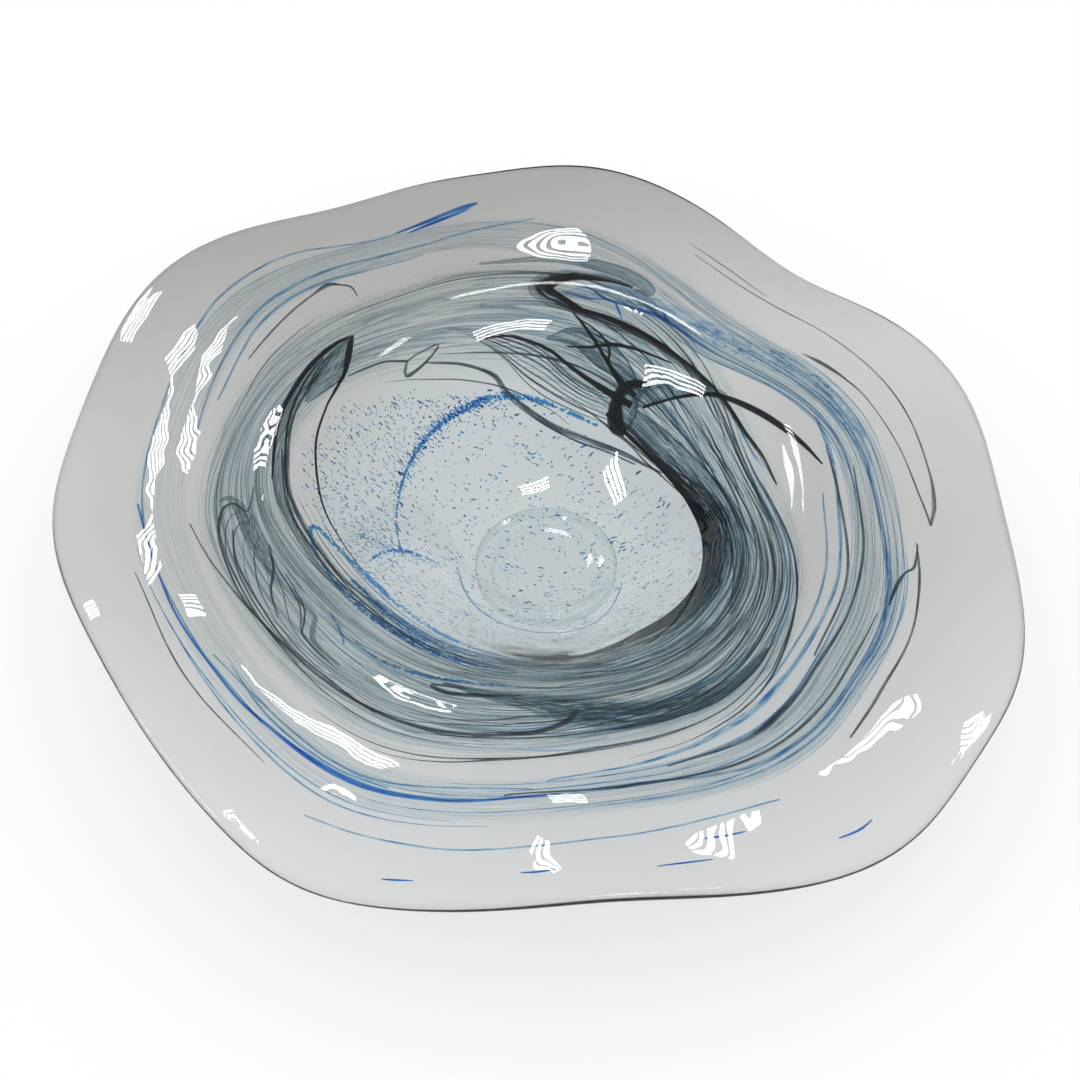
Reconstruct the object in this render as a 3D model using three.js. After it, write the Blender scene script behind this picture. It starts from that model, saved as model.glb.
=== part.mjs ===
// A large free-form art glass bowl: two gathers of clear glass with smoke, black and blue colour
// trapped between them, on a ground and polished punty foot.
//
// Every piece is first laid out flat, as a disc seen from above: x and y are its place on the
// flat disc and -z is its depth below the inside face of the bowl. slump() then sinks the disc
// into the well and pulls the rim into its lobes, so that all the pieces keep to one wall.
// Bearings are in degrees round the foot's axis, anticlockwise from +X, and lengths are in
// millimetres. z = 0 is the surface that the bowl stands on.
import * as THREE from 'three';

// ---- The bowl as it was spun, before the rim was pulled ----
const RIM_RADIUS = 224;
const WELL_START = 16;      // radius of the flat middle of the floor
const WELL_END = 132;       // radius where the wall has rolled out into the brim
const WELL_DEPTH = 72;
const BRIM_ARCH = 4;        // the brim rises this much halfway out ...
const BRIM_DROOP = 2;       // ... and ends this much lower than it began

// ---- The wall, from the inside face downwards ----
const INNER_GLASS = 2.3;
const CLEARANCE = 0.6;      // kept between neighbouring layers
const COLOUR = 0.35;        // thickness of a layer of colour
const OUTER_GLASS = 2.3;
const SEAM = 4 * CLEARANCE + 3 * COLOUR;
const WALL = INNER_GLASS + SEAM + OUTER_GLASS;
const THINNING = 0.25;      // share of the wall that is lost by the time it reaches the rim
const THINNING_START = 110; // radius where the wall begins to thin
const THICKENING = 0.3;     // share that the wall gains towards the middle of the floor
const THICKENING_START = 100;
const LIP_ROUND = 0.7;      // how far the fire-polished edge stands out past the rim radius

// ---- The foot ----
const FOOT_RADIUS = 37.5;
const REST_OUTER = 35;      // the flat ring that the bowl rests on
const REST_INNER = 28;
const DISH_DEPTH = 1.6;     // the polished hollow inside that ring
const FOOT_HEIGHT = 3.4;    // at the middle, up to the underside of the wall
const FOOT_GAP = 0.4;
const FOOT_JOINT = 33.6;     // on the flat disc, the spot above the foot's edge
const FLOOR_HEIGHT = FOOT_HEIGHT + FOOT_GAP + WALL * (1 + THICKENING);

// ---- The pulled rim: each lobe or dent has its bearing, its amount and its spread ----
const PULL_START = 80;      // inside this radius the bowl is still round
const RIM_SHIFT = { x: 17.5, y: -21 };
const REACHES = [
  [44, -31, 26],
  [111, 8, 12],
  [146, 35, 24],
  [182.5, 22, 21],
  [-118, 4, 10],
  [-82, -24, 28],
  [-39, -6.5, 10],
  [-3.5, -28, 24],
];
const WAVES = [
  [0, 3, 16],
  [48, -8, 14],
  [85, 9, 16],
  [116, -4, 12],
  [145, 5, 16],
  [176, -5, 14],
  [-150, 6, 16],
  [-113, -7, 14],
  [-83, 5, 12],
  [-51, -10, 16],
];

// ---- The colour was laid off centre: it reaches further out around this bearing ----
const DRIFT_BEARING = 182;
const DRIFT_AMOUNT = 27;
const DRIFT_SPREAD = 58;
const CLEAR_FLOOR = 84;     // radius of the clear floor, where there is no drift

// ---- Fineness of the facets ----
const TURN_STEPS = 56;
const WELL_STEPS = 12;
const BRIM_STEPS = 5;
const FOOT_STEPS = 3;
const RIBBON_STEP = 8;      // along a ribbon
const RIBBON_STRIP = 7;     // across a wide ribbon

const radians = THREE.MathUtils.degToRad;
const { clamp } = THREE.MathUtils;

// Sum of smooth bumps round the rim at one bearing.
function bumps(list, bearing) {
  let total = 0;
  for (const [centre, amount, spread] of list) {
    const away = THREE.MathUtils.euclideanModulo(bearing - centre + 180, 360) - 180;
    total += amount * Math.exp(-((away / spread) ** 2));
  }
  return total;
}

// Height of the inside face above the middle of the floor.
function profile(radius) {
  const inWell = clamp((radius - WELL_START) / (WELL_END - WELL_START), 0, 1);
  const onBrim = Math.max((radius - WELL_END) / (RIM_RADIUS - WELL_END), 0);
  const well = WELL_DEPTH * (1 - Math.cos(Math.PI * inWell)) / 2;
  const arch = BRIM_ARCH * (1 - Math.cos(2 * Math.PI * onBrim)) / 2;
  return well + arch - BRIM_DROOP * onBrim ** 2;
}

// How full the wall is, as a share of its usual thickness.
function fullness(radius) {
  const thinning = clamp((radius - THINNING_START) / (RIM_RADIUS - THINNING_START), 0, 1);
  const thickening = clamp(1 - radius / THICKENING_START, 0, 1);
  return 1 - THINNING * thinning + THICKENING * thickening ** 2;
}

// Where a spot of the flat disc lies on the finished bowl.
function wallPoint(radius, bearing, depth) {
  const reach = 0.01;
  const slope = (profile(radius + reach) - profile(radius - reach)) / (2 * reach);
  const steepness = Math.hypot(1, slope);
  const sunk = depth * fullness(radius);
  const spun = radius + sunk * slope / steepness;
  const pulled = Math.max((spun - PULL_START) / (RIM_RADIUS - PULL_START), 0);
  const turn = radians(bearing);
  const shift = RIM_SHIFT.x * Math.cos(turn) + RIM_SHIFT.y * Math.sin(turn);
  const plan = spun + (shift + bumps(REACHES, bearing)) * pulled ** 1.5;
  const height = FLOOR_HEIGHT + profile(radius) - sunk / steepness;
  return new THREE.Vector3(
    plan * Math.cos(turn),
    plan * Math.sin(turn),
    height + bumps(WAVES, bearing) * pulled ** 2,
  );
}

// Sinks a flat layer into the bowl. drifts is true for a layer that follows the colour's drift.
function slump(geometry, drifts = false) {
  const place = geometry.attributes.position;
  for (let i = 0; i < place.count; i += 1) {
    const bearing = THREE.MathUtils.radToDeg(Math.atan2(place.getY(i), place.getX(i)));
    let radius = Math.hypot(place.getX(i), place.getY(i));
    if (drifts) {
      const share = Math.min(radius / CLEAR_FLOOR, 1) ** 2;
      radius += share * bumps([[DRIFT_BEARING, DRIFT_AMOUNT, DRIFT_SPREAD]], bearing);
    }
    const point = wallPoint(radius, bearing, -place.getZ(i));
    place.setXYZ(i, point.x, point.y, point.z);
  }
  geometry.computeVertexNormals();
  return geometry;
}

// A lathe turns about +Y, so its result is stood up to turn about +Z.
function turned(points) {
  return new THREE.LatheGeometry(points, TURN_STEPS).rotateX(Math.PI / 2);
}

// Radii of the facet rings from one radius to another, finer in the well than on the brim.
function rings(from, to) {
  const wellStep = (WELL_END - WELL_START) / WELL_STEPS;
  const brimStep = (RIM_RADIUS - WELL_END) / BRIM_STEPS;
  const radii = [];
  let radius = WELL_START;
  while (radius < to - 1) {
    if (radius > from + 1) radii.push(radius);
    radius += radius < WELL_END - 1 ? wellStep : brimStep;
  }
  return [from, ...radii, to];
}

// A whole gather of glass: a disc between two depths with a rounded edge.
function gather(top, bottom) {
  const radii = rings(0, RIM_RADIUS);
  const lip = new THREE.Vector2(RIM_RADIUS + LIP_ROUND, -(top + bottom) / 2);
  const under = radii.map((radius) => new THREE.Vector2(radius, -bottom));
  const over = radii.map((radius) => new THREE.Vector2(radius, -top)).reverse();
  return slump(turned([...under, lip, ...over]));
}

// Depth of the top of a colour layer: 0 is the uppermost of the three.
function layerTop(layer) {
  return INNER_GLASS + CLEARANCE + layer * (CLEARANCE + COLOUR);
}

// A veil that runs all the way round, or covers the floor when it starts at the axis.
function veil({ from, to, layer }) {
  const top = layerTop(layer);
  const radii = rings(from, to);
  const under = radii.map((radius) => new THREE.Vector2(radius, -(top + COLOUR)));
  const over = radii.map((radius) => new THREE.Vector2(radius, -top)).reverse();
  const outline = [...under, ...over];
  if (from > 0) outline.push(outline[0].clone());
  return slump(turned(outline), true);
}

// A drawn-out ribbon of colour. Its path is a list of [bearing, radius].
function ribbon({ path, width, tip = 0.8, layer }) {
  const spots = path.map(([bearing, radius]) => new THREE.Vector3(
    radius * Math.cos(radians(bearing)),
    radius * Math.sin(radians(bearing)),
    0,
  ));
  const curve = new THREE.CatmullRomCurve3(spots, false, 'centripetal');
  const along = Math.max(Math.round(curve.getLength() / RIBBON_STEP), 4);
  const across = Math.max(Math.round(width / RIBBON_STRIP), 1);
  const geometry = new THREE.BoxGeometry(1, 1, COLOUR, along, across, 1);
  const place = geometry.attributes.position;
  const middle = -(layerTop(layer) + COLOUR / 2);
  for (let i = 0; i < place.count; i += 1) {
    const way = clamp(place.getX(i) + 0.5, 0, 1);
    const spot = curve.getPointAt(way);
    const heading = curve.getTangentAt(way);
    const swell = tip + (width - tip) * Math.sin(Math.PI * way);
    const side = place.getY(i) * swell;
    place.setXYZ(i, spot.x - heading.y * side, spot.y + heading.x * side, middle + place.getZ(i));
  }
  return slump(geometry);
}

// The punty foot: a pad fused under the floor, ground flat in a ring and dished inside it.
function foot() {
  const points = [];
  for (let i = 0; i <= FOOT_STEPS; i += 1) {
    const share = i / FOOT_STEPS;
    points.push(new THREE.Vector2(REST_INNER * share, DISH_DEPTH * (1 - share ** 2)));
  }
  points.push(new THREE.Vector2(REST_OUTER, 0));
  points.push(new THREE.Vector2(FOOT_RADIUS - 0.7, 0.9));
  points.push(new THREE.Vector2(FOOT_RADIUS, 2.6));
  for (const radius of rings(0, FOOT_JOINT).reverse()) {
    const under = wallPoint(radius, 0, WALL);
    points.push(new THREE.Vector2(under.x, under.z - FOOT_GAP));
  }
  return turned(points);
}

// ---- Glass colours ----
function glass(colour, roughness = 0.05) {
  return new THREE.MeshStandardMaterial({ color: colour, roughness, metalness: 0 });
}
const clear = glass(0xdde2e2);
const smoke = glass(0x8b969c);
const black = glass(0x15181d);
const blue = glass(0x2a5fb8);
const paleBlue = glass(0x9fb7cc);

// ---- The colour pieces, in their three layers ----
const veils = {
  frit_bed: { from: 0, to: 62, layer: 2, finish: paleBlue },
  smoke_veil_wall: { from: 84, to: 108, layer: 2, finish: smoke },
  smoke_veil_shoulder: { from: 110, to: 138, layer: 2, finish: smoke },
  blue_haze_brim: { from: 141, to: 160, layer: 2, finish: paleBlue },
};

const ribbons = {
  black_crescent: {
    path: [[66, 82], [49, 77], [12, 76], [-17, 84], [-30, 88], [-43, 89], [-61, 87], [-76, 86]],
    width: 12, layer: 0, finish: black,
  },
  black_knot_arm_back: { path: [[82, 106], [77, 102], [68, 92], [60, 86]], width: 6, layer: 1, finish: black },
  black_knot_arm_side: { path: [[54, 87], [46, 95], [38, 104], [29, 112]], width: 5, layer: 1, finish: black },
  black_sweep: {
    path: [[84, 118], [64, 110], [43, 107], [28, 112], [15, 122], [4, 136]],
    width: 13, layer: 0, finish: black,
  },
  black_hook_head: {
    path: [[64, 142], [68, 148], [78, 146], [86, 140], [93, 130], [90, 123]],
    width: 5, layer: 0, finish: black,
  },
  black_leaf: { path: [[136, 130], [152, 133], [169, 131], [184, 127]], width: 13, layer: 0, finish: black },
  black_line_floor_edge: {
    path: [[157, 126], [170, 120], [189, 114], [201, 111]],
    width: 2, layer: 1, finish: black,
  },
  black_line_loop: { path: [[143, 117], [129, 108], [113, 98], [101, 82], [88, 72]], width: 2.4, layer: 1, finish: black },
  black_line_front: {
    path: [[-133, 159], [-124, 154], [-116, 146], [-103, 143], [-88, 140]],
    width: 2.4, layer: 0, finish: black,
  },
  black_line_far_right: {
    path: [[62, 187], [40, 189], [24, 187], [9, 188], [-3, 190], [-10, 186]],
    width: 2.6, layer: 1, finish: black,
  },
  black_line_right: { path: [[34, 156], [18, 161], [3, 174], [-9, 181]], width: 3.4, layer: 1, finish: black },
  black_line_low_right: {
    path: [[-14, 177], [-23, 179], [-33, 180], [-43, 184], [-51, 184]],
    width: 2.6, layer: 1, finish: black,
  },
  black_line_low_left: {
    path: [[-168, 193], [-156, 193], [-146, 196], [-134, 198], [-123, 195]],
    width: 1.8, layer: 1, finish: black,
  },
  black_hook_back: { path: [[133, 162], [130, 164], [128, 158], [129, 152]], width: 2, layer: 1, finish: black },
  smoke_swirl_left: {
    path: [[-176, 150], [-166, 146], [-160, 137], [-154, 138], [-144, 136], [-134, 130]],
    width: 9, layer: 0, finish: smoke,
  },
  blue_thread_back: {
    path: [[100, 195], [108, 187], [117, 182], [131, 190], [150, 190], [166, 192], [180, 187], [196, 186]],
    width: 2.4, layer: 1, finish: blue,
  },
  blue_thread_front: {
    path: [[-148, 188], [-139, 182], [-129, 182], [-121, 178], [-113, 177], [-101, 175], [-88, 173]],
    width: 3, layer: 1, finish: blue,
  },
  blue_thread_inner: { path: [[118, 163], [130, 168], [143, 170], [158, 170], [174, 167]], width: 2.4, layer: 1, finish: blue },
  blue_lace: {
    path: [[84, 130], [71, 124], [57, 130], [45, 133], [33, 143], [20, 152], [9, 157]],
    width: 12, layer: 1, finish: blue,
  },
  blue_thread_right: {
    path: [[-12, 168], [-28, 165], [-44, 166], [-58, 167], [-75, 166], [-91, 169]],
    width: 4, layer: 1, finish: blue,
  },
  blue_kink: { path: [[-17, 170], [-21, 168], [-25, 170], [-28, 174]], width: 2, layer: 0, finish: blue },
  blue_arc_floor: {
    path: [[83, 78], [106, 80], [129, 78], [145, 75], [160, 72], [-171, 72]],
    width: 2, layer: 0, finish: blue,
  },
  blue_arc_foot: { path: [[-167, 43], [-146, 48], [-129, 51], [-113, 54]], width: 1.6, layer: 1, finish: blue },
  blue_dash_front_1: { path: [[-72, 199], [-70, 199], [-67, 199], [-65, 199]], width: 2, layer: 1, finish: blue },
  blue_dash_front_2: { path: [[-79, 210], [-76, 210], [-73, 210], [-71, 210]], width: 2, layer: 1, finish: blue },
  blue_dash_front_3: { path: [[-57, 211], [-55, 211], [-53, 210], [-51, 210]], width: 2, layer: 1, finish: blue },
  blue_dash_front_4: { path: [[-94, 209], [-92, 209], [-91, 209], [-89, 208]], width: 2, layer: 1, finish: blue },
};

// ---- Assembly ----
const group = new THREE.Group();

function add(name, geometry, finish) {
  const mesh = new THREE.Mesh(geometry, finish);
  mesh.name = name;
  group.add(mesh);
}

add('inner_gather', gather(0, INNER_GLASS), clear);
add('outer_gather', gather(INNER_GLASS + SEAM, WALL), clear);
add('punty_foot', foot(), clear);
for (const [name, piece] of Object.entries(veils)) add(name, veil(piece), piece.finish);
for (const [name, piece] of Object.entries(ribbons)) add(name, ribbon(piece), piece.finish);

// The origin is the middle of the bowl's outline, on the surface that it stands on.
const extent = new THREE.Box3().setFromObject(group);
const middle = extent.getCenter(new THREE.Vector3());
group.position.set(-middle.x, -middle.y, 0);

export default group;
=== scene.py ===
"""Looks of a free-form art glass bowl: clear glass with smoke, black and blue colour in its wall.

Every piece is laid out flat in millimetres, as a disc seen from above with -z as its depth below
the inside face. The "Slump onto the bowl" node group then sinks it into the well, pulls the rim
into its lobes and brings it to metres round the foot's axis, so all pieces keep to one wall.
"""
import math
import random

import bpy
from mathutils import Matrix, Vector


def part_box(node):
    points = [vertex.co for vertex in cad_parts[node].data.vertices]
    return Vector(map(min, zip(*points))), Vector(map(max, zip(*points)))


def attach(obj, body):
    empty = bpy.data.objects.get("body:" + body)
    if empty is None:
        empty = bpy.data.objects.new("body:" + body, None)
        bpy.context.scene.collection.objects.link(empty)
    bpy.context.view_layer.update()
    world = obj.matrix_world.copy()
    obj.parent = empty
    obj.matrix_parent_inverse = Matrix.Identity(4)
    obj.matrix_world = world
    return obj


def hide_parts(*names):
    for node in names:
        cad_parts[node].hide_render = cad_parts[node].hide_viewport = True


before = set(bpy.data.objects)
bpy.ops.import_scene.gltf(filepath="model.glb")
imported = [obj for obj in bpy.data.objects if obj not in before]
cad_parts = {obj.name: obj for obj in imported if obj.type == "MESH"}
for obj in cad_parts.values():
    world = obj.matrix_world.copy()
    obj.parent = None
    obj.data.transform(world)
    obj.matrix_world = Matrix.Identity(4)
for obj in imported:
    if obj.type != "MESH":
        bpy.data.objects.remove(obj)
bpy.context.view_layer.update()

MM = 0.001

# The bowl as it was spun, in millimetres.
RIM_RADIUS = 224
WELL_START, WELL_END, WELL_DEPTH = 16, 132, 72
BRIM_ARCH, BRIM_DROOP = 4, 2
CLEAR_FLOOR_EDGE = 88
LIP_REACH, LIP_STEPS = 0.7, 12
BODY_STEPS, FOOT_STEPS = 288, 144

# The wall, from the inside face downwards.
GLASS_LAYER, CLEARANCE, COLOUR_LAYER = 2.3, 0.6, 0.35
WALL = 2 * GLASS_LAYER + 4 * CLEARANCE + 3 * COLOUR_LAYER
THINNING, THINNING_START = 0.25, 110
THICKENING, THICKENING_START = 0.3, 100

# The foot. FOOT_TOP is the flat radius whose underside lies over the foot's rim.
FOOT_RADIUS, FOOT_HEIGHT, FOOT_GAP, FOOT_TOP = 37.5, 3.4, 0.4, 33.6
REST_INNER, DISH_DEPTH, REST_ROUNDING = 28, 1.6, 0.8
FLOOR_HEIGHT = FOOT_HEIGHT + FOOT_GAP + WALL * (1 + THICKENING)

# Bumps round the bowl: bearing in degrees, amount in millimetres, spread in degrees.
FLOOR_EDGE = [(172, 32, 38), (45, -22, 55)]
REACHES = [
    (44, -31, 26), (111, 8, 12), (146, 35, 24), (182.5, 22, 21),
    (-118, 4, 10), (-82, -24, 28), (-39, -6.5, 10), (-3.5, -28, 24),
]
WAVES = [
    (0, 3, 16), (48, -8, 14), (85, 9, 16), (116, -4, 12), (145, 5, 16),
    (176, -5, 14), (-150, 6, 16), (-113, -7, 14), (-83, 5, 12), (-51, -10, 16),
]
PULL_START = 80
RIM_SHIFT = (17.5, -21)

# The arc of blue chips in the floor, its lobe, and the branch that leaves it.
ARC_RADIUS, ARC_WIDTH, ARC_LOBE = 72.4, 1.7, (122, 6, 34)
BRANCH_BEARING, BRANCH_WIDTH = 192.5, 1.8

foot_low, foot_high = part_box("punty_foot")
FOOT_AXIS = Vector(((foot_low[0] + foot_high[0]) / 2, (foot_low[1] + foot_high[1]) / 2, 0))


# ---- Node trees written as formulas ----

class Field:
    """A socket of a node tree that can be added, multiplied and so on with others or numbers."""

    def __init__(self, tree, socket):
        self.tree = tree
        self.socket = socket

    def math(self, operation, *others):
        node = self.tree.nodes.new("ShaderNodeMath")
        node.operation = operation
        for place, value in zip(node.inputs, (self, *others)):
            feed(self.tree, place, value)
        return Field(self.tree, node.outputs[0])

    def __add__(self, other):
        return self.math("ADD", other)

    def __sub__(self, other):
        return self.math("SUBTRACT", other)

    def __mul__(self, other):
        return self.math("MULTIPLY", other)

    def __truediv__(self, other):
        return self.math("DIVIDE", other)

    def __pow__(self, other):
        return self.math("POWER", other)

    def rise(self, low, high):
        """0 below low, 1 above high and straight between."""
        node = self.tree.nodes.new("ShaderNodeMapRange")
        for name, value in (("Value", self), ("From Min", low), ("From Max", high)):
            feed(self.tree, node.inputs[name], value)
        return Field(self.tree, node.outputs[0])

    def ease(self, low, high):
        """0 below low, 1 above high and smooth between."""
        field = self.rise(low, high)
        field.socket.node.interpolation_type = "SMOOTHSTEP"
        return field


def feed(tree, place, value):
    """Sets an input to a number, colour or vector, or links it to a field or socket."""
    if isinstance(value, Field):
        value = value.socket
    if isinstance(value, bpy.types.NodeSocket):
        tree.links.new(value, place)
    else:
        place.default_value = value


def add_node(tree, kind, inputs=None, **settings):
    node = tree.nodes.new(kind)
    for name, value in settings.items():
        setattr(node, name, value)
    for name, value in (inputs or {}).items():
        feed(tree, node.inputs[name], value)
    return node


def result_of(tree, kind, inputs=None, **settings):
    """The first output of a new node."""
    return Field(tree, add_node(tree, kind, inputs, **settings).outputs[0])


def parts(tree, vector):
    node = add_node(tree, "ShaderNodeSeparateXYZ", {0: vector})
    return [Field(tree, socket) for socket in node.outputs]


def joined(tree, x=0.0, y=0.0, z=0.0):
    return result_of(tree, "ShaderNodeCombineXYZ", {"X": x, "Y": y, "Z": z})


def noise(tree, place, scale, detail, roughness=0.5):
    return result_of(tree, "ShaderNodeTexNoise", {
        "Vector": place, "Scale": scale, "Detail": detail, "Roughness": roughness})


def off_axis(x, y):
    return (x * x + y * y).math("SQRT")


def bell(value):
    """1 where the value is 0, falling off smoothly on both sides."""
    return (value * value * -1.0).math("EXPONENT")


def new_group(name, kind, inputs, outputs):
    """A node group and its inputs; each input has its default, or its kind where it has none."""
    kinds = {float: "Float", int: "Int", tuple: "Color"}
    group = bpy.data.node_groups.new(name, kind)
    for label, default in inputs.items():
        socket_kind = default if isinstance(default, str) else kinds[type(default)]
        socket = group.interface.new_socket(label, in_out="INPUT", socket_type="NodeSocket" + socket_kind)
        if not isinstance(default, str):
            socket.default_value = default
    for label, socket_kind in outputs.items():
        group.interface.new_socket(label, in_out="OUTPUT", socket_type="NodeSocket" + socket_kind)
    source = group.nodes.new("NodeGroupInput")
    return group, {label: Field(group, source.outputs[label]) for label in inputs}


def put_out(group, **outputs):
    sink = group.nodes.new("NodeGroupOutput")
    for name, value in outputs.items():
        feed(group, sink.inputs[name], value)


def use_group(tree, group, inputs):
    kind = "ShaderNodeGroup" if tree.bl_idname == "ShaderNodeTree" else "GeometryNodeGroup"
    node = add_node(tree, kind, node_tree=group)
    for name, value in inputs.items():
        feed(tree, node.inputs[name], value)
    return [Field(tree, socket) for socket in node.outputs]


def make_lobe_group(kind):
    """One smooth bump round the rim."""
    group, ins = new_group(
        "Lobe", kind, {"Bearing": 0.0, "Centre": 0.0, "Amount": 0.0, "Spread": 0.0}, {"Value": "Float"})
    away = (ins["Bearing"] - ins["Centre"]).math("WRAP", 180.0, -180.0) / ins["Spread"]
    put_out(group, Value=bell(away) * ins["Amount"])
    return group


def lobes(tree, bearing, bumps):
    """The sum at a bearing of bumps given as (centre, amount, spread)."""
    lobe = shade_lobe if tree.bl_idname == "ShaderNodeTree" else flat_lobe
    values = [
        use_group(tree, lobe, {"Bearing": bearing, "Centre": centre, "Amount": amount, "Spread": spread})[0]
        for centre, amount, spread in bumps]
    return sum(values[1:], values[0])


flat_lobe = make_lobe_group("GeometryNodeTree")
shade_lobe = make_lobe_group("ShaderNodeTree")


def make_slump_group():
    """Sinks a flat layout in millimetres into the bowl."""
    sizes = {
        "Rim Radius": RIM_RADIUS, "Well Start": WELL_START, "Well End": WELL_END, "Well Depth": WELL_DEPTH,
        "Brim Arch": BRIM_ARCH, "Brim Droop": BRIM_DROOP, "Floor Height": FLOOR_HEIGHT, "Ripple": 0,
    }
    group, size = new_group(
        "Slump onto the bowl", "GeometryNodeTree",
        {"Geometry": "Geometry", **{name: float(amount) for name, amount in sizes.items()}},
        {"Geometry": "Geometry"})
    position = result_of(group, "GeometryNodeInputPosition")
    x, y, z = parts(group, position)
    radius = off_axis(x, y)
    turn = y.math("ARCTAN2", x)
    bearing = turn.math("DEGREES")

    well = radius.rise(size["Well Start"], size["Well End"])
    brim_width = size["Rim Radius"] - size["Well End"]
    brim = ((radius - size["Well End"]) / brim_width).math("MAXIMUM", 0.0)
    wall_turn = well * math.pi
    brim_turn = brim * (2 * math.pi)
    height = (
        (wall_turn.math("COSINE") * -1.0 + 1.0) * size["Well Depth"] / 2.0
        + (brim_turn.math("COSINE") * -1.0 + 1.0) * size["Brim Arch"] / 2.0
        - brim * brim * size["Brim Droop"])
    slope = (
        wall_turn.math("SINE") * size["Well Depth"] * (math.pi / 2) / (size["Well End"] - size["Well Start"])
        + brim_turn.math("SINE") * size["Brim Arch"] * math.pi / brim_width
        - brim * size["Brim Droop"] * 2.0 / brim_width)
    steepness = (slope * slope + 1.0).math("SQRT")
    fullness = (
        (radius / -THICKENING_START + 1.0).math("MAXIMUM", 0.0) ** 2.0 * THICKENING
        - radius.rise(THINNING_START, RIM_RADIUS) * THINNING + 1.0)
    sunk = z * -1.0 * fullness + (noise(group, position, 0.022, 1.0) - 0.5) * size["Ripple"]

    spun = radius + sunk * slope / steepness
    pulled = ((spun - PULL_START) / (RIM_RADIUS - PULL_START)).math("MAXIMUM", 0.0)
    cosine, sine = turn.math("COSINE"), turn.math("SINE")
    shift = cosine * RIM_SHIFT[0] + sine * RIM_SHIFT[1]
    plan = spun + (shift + lobes(group, bearing, REACHES)) * pulled ** 1.5
    top = size["Floor Height"] + height - sunk / steepness + lobes(group, bearing, WAVES) * pulled * pulled
    metres = result_of(group, "ShaderNodeVectorMath",
                       {0: joined(group, plan * cosine, plan * sine, top), 1: (MM, MM, MM)},
                       operation="MULTIPLY")
    placed = result_of(group, "ShaderNodeVectorMath", {0: metres, 1: tuple(FOOT_AXIS)}, operation="ADD")
    put_out(group, Geometry=moved(group, size["Geometry"], placed))
    return group


# ---- Meshes ----

def turned(name, outline, steps, closed=False):
    """A flat lathe mesh about the Z axis from (radius, z) points; closed joins the ends."""
    verts, rows = [], []
    for radius, z in outline:
        if radius < 1e-6:
            rows.append([len(verts)] * steps)
            verts.append((0, 0, z))
            continue
        rows.append([len(verts) + step for step in range(steps)])
        turns = [2 * math.pi * step / steps for step in range(steps)]
        verts += [(radius * math.cos(turn), radius * math.sin(turn), z) for turn in turns]
    if closed:
        rows.append(rows[0])
    faces = []
    for low, high in zip(rows, rows[1:]):
        for i in range(steps):
            j = (i + 1) % steps
            face = list(dict.fromkeys([low[i], low[j], high[j], high[i]]))
            if len(face) > 2:
                faces.append(face)
    mesh = bpy.data.meshes.new(name)
    mesh.from_pydata(verts, [], faces)
    mesh.shade_smooth()
    return mesh


def spread(start, end, step):
    """Evenly spaced numbers from start to end, about a step apart."""
    count = max(round(abs(end - start) / step), 1)
    return [start + (end - start) * i / count for i in range(count + 1)]


def shown(name, data):
    """A new object in the scene."""
    item = bpy.data.objects.new(name, data)
    bpy.context.collection.objects.link(item)
    return item


def finished(name, mesh, tree, material, settings=None):
    """Runs a node tree on a flat mesh and keeps the result as a plain mesh."""
    flat = shown(name + "_flat", mesh)
    modifier = flat.modifiers.new("Make", "NODES")
    modifier.node_group = tree
    wanted = {"Material": material, **(settings or {})}
    for item in tree.interface.items_tree:
        if item.in_out == "INPUT" and item.name in wanted:
            modifier[item.identifier] = wanted[item.name]
    graph = bpy.context.evaluated_depsgraph_get()
    result = bpy.data.meshes.new_from_object(flat.evaluated_get(graph))
    bpy.data.objects.remove(flat)
    result.name = name
    result.shade_smooth()
    return shown(name, result)


def settle(piece, nodes):
    """Puts a piece on the bowl's one body, in place of some CAD nodes."""
    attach(piece, "root")
    if nodes:
        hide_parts(*nodes)


# ---- Geometry trees ----

def moved(tree, geometry, position):
    return result_of(tree, "GeometryNodeSetPosition", {"Geometry": geometry, "Position": position})


def stored(tree, geometry, name, value, data_type="FLOAT_VECTOR", domain="POINT"):
    return result_of(tree, "GeometryNodeStoreNamedAttribute",
                     {"Geometry": geometry, "Name": name, "Value": value}, data_type=data_type, domain=domain)


def named(tree, name, data_type):
    return result_of(tree, "GeometryNodeInputNamedAttribute", {"Name": name}, data_type=data_type)


def new_tree(name, sizes):
    """A tree that takes a flat mesh, its glass and some sizes."""
    return new_group(name, "GeometryNodeTree",
                     {"Geometry": "Geometry", "Material": "Material", **sizes}, {"Geometry": "Geometry"})


def end_tree(tree, ins, flat, settings=None):
    """Slumps what a tree has laid out, makes it real and gives it its glass."""
    placed, = use_group(tree, slump_group, {"Geometry": flat, **(settings or {})})
    real = result_of(tree, "GeometryNodeRealizeInstances", {"Geometry": placed})
    coloured = result_of(tree, "GeometryNodeSetMaterial", {"Geometry": real, "Material": ins["Material"]})
    put_out(tree, Geometry=coloured)
    return tree


def make_layer_tree():
    """Slumps a flat mesh with a slight ripple."""
    tree, ins = new_tree("Slumped layer", {"Ripple": 0.0})
    return end_tree(tree, ins, ins["Geometry"], {"Ripple": ins["Ripple"]})


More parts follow.
